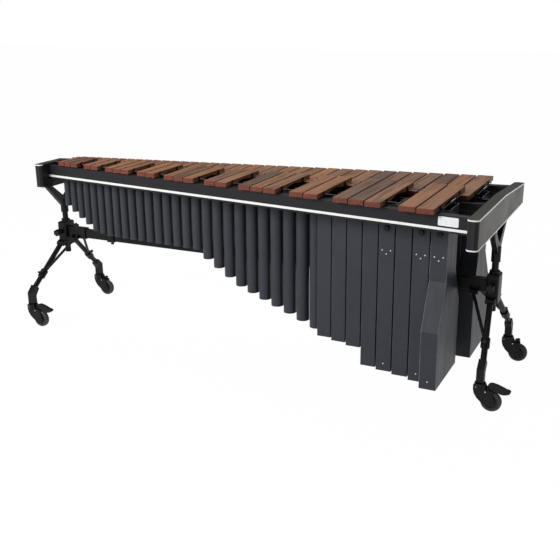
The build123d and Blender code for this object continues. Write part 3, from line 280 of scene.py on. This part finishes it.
def powder_coat(name, tint, worn_and_highlight, grain=0.00018, rough=(0.4, 0.52), edge_radius=0.0012, wear_and_highlight=0.35, shine=0.2):
    """Fine textured coat with faint mottling, and brighter edges: rubbed wear together with a painted
    highlight where the edges catch the light.
    """
    g = Graph(name, Specular_IOR_Level=shine)
    point = g.place()
    speckle = g.noise(point, 480, 3)
    cloud = g.noise(point, 7, 4)
    smear = g.noise(g.place((30, 30, 3)), 1.0, 3)
    base = g.blend(g.span(cloud, 0.3, 0.7, 0.0, 0.5), tint, [v * 1.28 for v in tint[:3]] + [1])
    base = g.blend(g.span(speckle, 0.5, 0.66, 0.0, 0.7), base, [v * 0.4 for v in tint[:3]] + [1])
    fleck = g.noise(point, 390, 2)
    base = g.blend(g.span(fleck, 0.6, 0.72, 0.0, 0.55), base, [v * 2.6 for v in tint[:3]] + [1])
    # Painted highlight with rubbed wear: edges brighten towards the worn colour, in patches set by the cloud.
    rub_and_highlight = g.math("MULTIPLY", g.edge(edge_radius), g.span(cloud, 0.35, 0.6, 0.2, 1.0))
    base = g.blend(g.math("MULTIPLY", rub_and_highlight, wear_and_highlight), base, worn_and_highlight)
    g.bump(speckle, grain, 0.5, edge_radius)
    return g.finish(base, g.span(smear, 0.3, 0.7, *rough))


def panel_finish(name, middle, inner):
    """End panel: dark laminate with a painted warm reflection on the broad outer faces, dark moulded caps at
    the two ends.
    """
    g = Graph(name, Specular_IOR_Level=0.2)
    fine = g.noise(g.place((500, 9, 500)), 1.0, 3)
    cloud = g.noise(g.place(), 5, 4)
    # Painted reflection: the broad outer faces get a warm olive grey in place of the dark laminate.
    warm_reflection = g.blend(g.span(cloud, 0.3, 0.7, 0.0, 0.6), colour(50, 46, 36), colour(60, 55, 43))
    warm_reflection = g.blend(g.span(fine, 0.4, 0.65, 0.0, 0.35), warm_reflection, colour(36, 33, 26))
    cap = g.blend(g.span(fine, 0.35, 0.65), colour(19, 18, 22), colour(27, 26, 30))
    # the faces towards the keyboard are black too
    place = g.node("SeparateXYZ", {0: g.node("TexCoord", {}).outputs["Object"]}).outputs["X"]
    out = g.math("ABSOLUTE", g.math("SUBTRACT", place, middle))
    inside = g.span(out, inner + 0.002, inner + 0.006, 1.0, 0.0)
    dark = g.math("MAXIMUM", g.span(g.facing("Y"), 0.35, 0.6), inside)
    base = g.blend(dark, warm_reflection, cap)
    # Painted highlight: the panel's edges are lightened towards a pale warm grey.
    base = g.blend(g.math("MULTIPLY", g.edge(0.0015), 0.3), base, colour(128, 126, 118))
    g.bump(fine, 0.0001, 0.5, 0.0015)
    return g.finish(base, g.span(cloud, 0.3, 0.7, 0.36, 0.46))


def trim_metal(name, tint, rough=(0.22, 0.36), stretch=(4, 900, 900), metallic=0.85):
    """Bright drawn metal with fine lines along its length."""
    g = Graph(name, Metallic=metallic)
    lines = g.noise(g.place(stretch), 1.0, 3)
    cloud = g.noise(g.place(), 12, 3)
    base = g.blend(g.span(lines, 0.3, 0.7, 0.0, 0.5), tint, [v * 0.82 for v in tint[:3]] + [1])
    base = g.blend(g.span(cloud, 0.55, 0.75, 0.0, 0.25), base, [v * 0.6 for v in tint[:3]] + [1])
    g.bump(lines, 0.00005, 0.3)
    return g.finish(base, g.span(cloud, 0.3, 0.7, *rough))


def moulding(name, tint, rough=(0.42, 0.58), scale=600, radius=0.0008):
    """Moulded plastic with a fine spark-eroded grain."""
    g = Graph(name, Specular_IOR_Level=0.25)
    grain = g.noise(g.place(), scale, 3)
    cloud = g.noise(g.place(), 18, 3)
    base = g.blend(g.span(cloud, 0.3, 0.7, 0.0, 0.6), tint, [v * 1.5 for v in tint[:3]] + [1])
    # Painted highlight: the moulding's edges are lightened towards a mid grey.
    base = g.blend(g.math("MULTIPLY", g.edge(radius), 0.25), base, colour(96, 96, 98))
    g.bump(grain, 0.00012, 0.5, radius)
    return g.finish(base, g.span(cloud, 0.3, 0.7, *rough))


def braid(name):
    """Dark braided cord: two sets of strands that cross."""
    g = Graph(name, Sheen_Weight=0.3)
    waves = []
    for tilt in (1, -1):
        point = g.place((1, 1, 1))
        point = g.node("Mapping", {"Vector": point, "Rotation": (0, 0, tilt * 0.9)}).outputs[0]
        inputs = {"Vector": point, "Scale": 260.0, "Distortion": 0.4}
        waves.append(g.node("TexWave", inputs).outputs["Fac"])
    strands = g.math("MULTIPLY", waves[0], waves[1])
    base = g.blend(strands, colour(20, 18, 18), colour(62, 56, 54))
    g.bump(strands, 0.0004, 0.7)
    return g.finish(base, g.span(strands, 0, 1, 0.75, 0.6))


def wheel_rubber(name, hub_place, tread_radius):
    """Grey tread round a black core, told apart by the distance from the axle."""
    g = Graph(name, Specular_IOR_Level=0.4)
    point = g.node("TexCoord", {}).outputs["Object"]
    away = g.node("VectorMath", {0: point, 1: hub_place}, operation="SUBTRACT").outputs[0]
    flat = g.node("VectorMath", {0: away, 1: (1, 0, 1)}, operation="MULTIPLY").outputs[0]
    radius = g.node("VectorMath", {0: flat}, operation="LENGTH").outputs["Value"]
    tread = g.span(radius, tread_radius - 0.0015, tread_radius)
    scuff = g.noise(g.place(), 90, 4)
    dust = g.noise(g.place(), 700, 3)
    rubber = g.blend(g.span(scuff, 0.35, 0.65), colour(40, 43, 45), colour(56, 60, 62))
    core = g.blend(g.span(dust, 0.4, 0.7), colour(17, 17, 20), colour(26, 26, 30))
    base = g.blend(tread, core, rubber)
    g.bump(dust, 0.00015, 0.5, 0.001)
    return g.finish(base, g.span(scuff, 0.3, 0.7, 0.5, 0.68))


def blank_plate(name):
    """Plain off-white plate with faint handling marks."""
    g = Graph(name, Specular_IOR_Level=0.5)
    cloud = g.noise(g.place(), 60, 4)
    base = g.blend(g.span(cloud, 0.35, 0.65), colour(214, 216, 218), colour(226, 227, 228))
    g.bump(cloud, 0.00005, 0.4, 0.0008)
    return g.finish(base, g.span(cloud, 0.3, 0.7, 0.3, 0.42))


# ---------------------------------------------------------------- pieces


def paint(name, made):
    """Give a CAD node's object a finished material in every slot."""
    for place in nodes[name].material_slots:
        place.material = made


def smooth(mesh, angle=35.0):
    """Smooth shading that stays crisp at edges sharper than the angle."""
    if "custom_normal" in mesh.attributes:
        mesh.attributes.remove(mesh.attributes["custom_normal"])
    mesh.shade_smooth()
    mesh.set_sharp_from_angle(angle=math.radians(angle))


def new_piece(name, mesh, made, body):
    """An object added to the CAD's that rides on a body."""
    piece = bpy.data.objects.new(name, mesh)
    bpy.context.scene.collection.objects.link(piece)
    mesh.materials.clear()
    mesh.materials.append(made)
    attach(piece, body)
    return piece


def islands(bm):
    """Lists of faces that hang together."""
    seen = set()
    found = []
    for face in bm.faces:
        if face in seen:
            continue
        seen.add(face)
        group = []
        todo = [face]
        while todo:
            at = todo.pop()
            group.append(at)
            for edge in at.edges:
                for other in edge.link_faces:
                    if other not in seen:
                        seen.add(other)
                        todo.append(other)
        found.append(group)
    return found


def toned_bars(number, made):
    """The bars of one octave, each with a tone and a tint of its own."""
    node = f"bars_octave_{number}"
    bm = bmesh.new()
    bm.from_mesh(nodes[node].data)
    bmesh.ops.remove_doubles(bm, verts=bm.verts, dist=1e-6)
    tone = bm.faces.layers.float.new("bar_tone")
    tint = bm.faces.layers.float.new("bar_tint")
    groups = sorted(islands(bm), key=lambda faces: faces[0].calc_center_median().x)
    for faces in groups:
        this_tone = random.random()
        # the high octaves' wood is more orange
        this_tint = min(1.0, max(0.0, random.gauss(0.45 + 0.05 * (number - 3), 0.3)))
        for face in faces:
            face[tone] = this_tone
            face[tint] = this_tint
    mesh = bpy.data.meshes.new(f"rosewood_bars_{number}")
    bm.to_mesh(mesh)
    bm.free()
    smooth(mesh)
    piece = new_piece(f"rosewood_bars_{number}", mesh, made, "deck")
    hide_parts(node)


def extruded(bm, outline, middle_y, half):
    """A closed slab: an outline in X and Z, from half below to half above middle_y."""
    rings = [[bm.verts.new((x, middle_y + side * half, z)) for x, z in outline] for side in (-1, 1)]
    bm.faces.new(rings[0])
    bm.faces.new(rings[1][::-1])
    count = len(outline)
    for at in range(count):
        after = (at + 1) % count
        bm.faces.new((rings[0][after], rings[0][at], rings[1][at], rings[1][after]))


def rod(bm, start, end, radius, sides=24):
    """A closed round bar between two points."""
    start, end = Vector(start), Vector(end)
    turn = (end - start).to_track_quat("Z", "Y").to_matrix().to_4x4()
    place = Matrix.Translation((start + end) / 2) @ turn
    bmesh.ops.create_cone(bm, cap_ends=True, segments=sides, radius1=radius, radius2=radius,
                          depth=(end - start).length, matrix=place)


def finished_mesh(name, bm, bevel, angle=30):
    """The mesh of bm with its sharp edges rounded and smooth shading."""
    bmesh.ops.recalc_face_normals(bm, faces=bm.faces)
    sharp = [edge for edge in bm.edges if len(edge.link_faces) == 2
             and edge.calc_face_angle(0) > math.radians(angle)]
    if bevel:
        bmesh.ops.bevel(bm, geom=sharp, offset=bevel, segments=3, affect="EDGES", clamp_overlap=True)
    mesh = bpy.data.meshes.new(name)
    bm.to_mesh(mesh)
    bm.free()
    smooth(mesh, 40)
    return mesh


# a caster's outlines and sizes: X from the swivel's axis, Z above the floor, in millimetres
HOOD = [(-27, 134), (-29, 126), (-29, 104), (-24, 84), (-10, 62), (10, 44), (34, 31), (54, 27), (72, 33),
        (79, 46), (76, 60), (68, 76), (60, 92), (56, 108), (44, 108), (33, 108), (26, 116), (22, 134)]
PEDAL = [(37, 110), (34, 124), (43, 138), (58, 142), (80, 138), (104, 130), (124, 122), (139, 120), (145, 112),
         (140, 104), (126, 98), (112, 95), (98, 96), (86, 101), (70, 104), (52, 106)]
PARKED = [(37, 112), (38, 119), (46, 125), (54, 128), (60, 127), (65, 121), (64, 116), (56, 115), (47, 110)]


TRAIL = 56                    # wheel's axle behind the swivel's axis
HOOD_OFFSET = 17.9            # middle of each hood plate from the wheel's middle plane
HOOD_HALF = 2.5
NECK_RADIUS = 27
NECK_HEIGHTS = (104.5, 137.5)
ROOF = [(-20, 103), (-20, 109), (36, 109), (36, 103)]
ROOF_HALF = 16.5
HOOD_ROUNDING = 1.2
BOLT_OFFSET = 20.3
BOLT_HEIGHT = 1.8
BOLTS = ((-14, 119, 4.2), (4, 119, 4.2), (30, 101, 3.2))   # X, Z, radius
PEDAL_HALF = 11.8
PEDAL_ROUNDING = 2.2
RIB_PLACES = (72, 86, 100, 114)
RIB_HALF = 9
RIB_RADIUS = 1.6
RIB_TOP = 139.7               # at the first rib
RIB_SLOPE = 0.31
MM = 0.001


def caster_pieces(corner, hood_paint, plastic, steel):
    """Rounded fork hood with its bolts over the CAD's fork, and a brake pedal in place of the CAD's."""
    wheel_low, wheel_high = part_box(f"{corner}_wheel")
    y = (wheel_low.y + wheel_high.y) / 2
    stem_x = (wheel_low.x + wheel_high.x) / 2 - TRAIL * MM

    def placed(outline):
        return [(stem_x + x * MM, z * MM) for x, z in outline]

    def add(name, bm, bevel, made, body):
        return new_piece(f"{corner}_{name}", finished_mesh(f"{corner}_{name}", bm, bevel * MM), made,
                         f"{corner}_{body}")

    bm = bmesh.new()
    for side in (-1, 1):
        extruded(bm, placed(HOOD), y + side * HOOD_OFFSET * MM, HOOD_HALF * MM)
    rod(bm, (stem_x, y, NECK_HEIGHTS[0] * MM), (stem_x, y, NECK_HEIGHTS[1] * MM), NECK_RADIUS * MM, 40)
    extruded(bm, placed(ROOF), y, ROOF_HALF * MM)
    add("fork_hood", bm, HOOD_ROUNDING, hood_paint, "caster")

    bm = bmesh.new()
    for side in (-1, 1):
        out = y + side * BOLT_OFFSET * MM
        for x, z, radius in BOLTS:
            head = (stem_x + x * MM, out, z * MM)
            rod(bm, head, (head[0], out + side * BOLT_HEIGHT * MM, head[2]), radius * MM, 6)
    add("fork_bolts", bm, 0, steel, "caster")

    parked = corner.endswith("far")
    bm = bmesh.new()
    extruded(bm, placed(PARKED if parked else PEDAL), y, PEDAL_HALF * MM)
    for place in () if parked else RIB_PLACES:
        top = (RIB_TOP - (place - RIB_PLACES[0]) * RIB_SLOPE) * MM
        x = stem_x + place * MM
        rod(bm, (x, y - RIB_HALF * MM, top), (x, y + RIB_HALF * MM, top), RIB_RADIUS * MM, 10)
    pedal = add("brake_pedal", bm, PEDAL_ROUNDING, plastic, "pedal")
    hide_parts(f"{corner}_pedal")


def paint_all():
    """Make every material, give each CAD node its own and add the detailed pieces."""
    # Each coat's second colour is what its edges brighten towards: a painted highlight with some rubbed wear.
    coat = powder_coat("resonator_coat", colour(50, 52, 58), colour(172, 176, 188), wear_and_highlight=0.55)
    # The boxes' edges turn nearly white: a painted highlight along the rolled sheet edges.
    box_coat = powder_coat("box_coat", colour(50, 52, 58), colour(214, 218, 228), edge_radius=0.0028, wear_and_highlight=0.8)
    rail = powder_coat("rail_paint", colour(27, 26, 30), colour(96, 96, 100), grain=0.0001, wear_and_highlight=0.2)
    stand = powder_coat("stand_paint", colour(11, 10, 13), colour(58, 58, 62), grain=0.00012,
                        rough=(0.36, 0.5), edge_radius=0.0015, wear_and_highlight=0.3)
    steel = trim_metal("bright_steel", colour(206, 208, 212))
    spring = trim_metal("spring_steel", colour(110, 110, 114), stretch=(700, 700, 700))
    trim = trim_metal("silver_trim", colour(232, 232, 230), rough=(0.3, 0.42), metallic=0.35)
    plastic = moulding("black_moulding", colour(9, 9, 11))
    post = moulding("post_moulding", colour(12, 12, 14), rough=(0.35, 0.5))
    low_panel, high_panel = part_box("low_end_panel"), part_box("high_end_panel")
    middle = (low_panel[0].x + high_panel[1].x) / 2
    panel = panel_finish("panel_laminate", middle, low_panel[0].x - middle)
    wood = rosewood()
    for number in range(1, 6):
        toned_bars(number, wood)
    finishes = {
        "rail_stripes": trim, "panel_piping": trim, "resonator_rivets": steel, "cord_springs": spring,
        "bar_cords": braid("cord_braid"), "label_plate": blank_plate("blank_plate"),
        "bar_posts": post, "crossbar": stand, "crossbar_clamp": stand, "resonator_strips": stand,
    }
    for row in ("accidental", "natural"):
        finishes[f"{row}_tubes"] = coat
        finishes[f"{row}_boxes"] = box_coat
        finishes[f"{row}_inner_rail"] = rail
    for row in ("near", "far"):
        finishes[f"{row}_rail"] = rail
    for end in ENDS:
        finishes[f"{end}_end_panel"] = panel
        finishes[f"{end}_yoke"] = stand
        finishes[f"{end}_hub"] = stand
        finishes[f"{end}_near_knob"] = plastic
        finishes[f"{end}_far_knob"] = plastic
    for number in (1, 2, 4):
        finishes[f"tuning_knob_{number}"] = plastic
    for corner in CORNERS:
        finishes[f"{corner}_leg"] = stand
        finishes[f"{corner}_knee"] = stand
        finishes[f"{corner}_strut"] = stand
        finishes[f"{corner}_caster_fork"] = stand
        finishes[f"{corner}_pedal"] = plastic
        low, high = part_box(f"{corner}_wheel")
        radius = (high.z - low.z) / 2
        finishes[f"{corner}_wheel"] = wheel_rubber(f"{corner}_tyre", (low + high) / 2, radius * 0.8)
    for name, made in finishes.items():
        paint(name, made)
    for corner in CORNERS:
        caster_pieces(corner, stand, plastic, steel)


# ---------------------------------------------------------------- the scene

make_camera()
make_world()
make_floor()
for lamp in LAMPS:
    area_light(*lamp)
bpy.context.scene.view_settings.view_transform = "Standard"
paint_all()
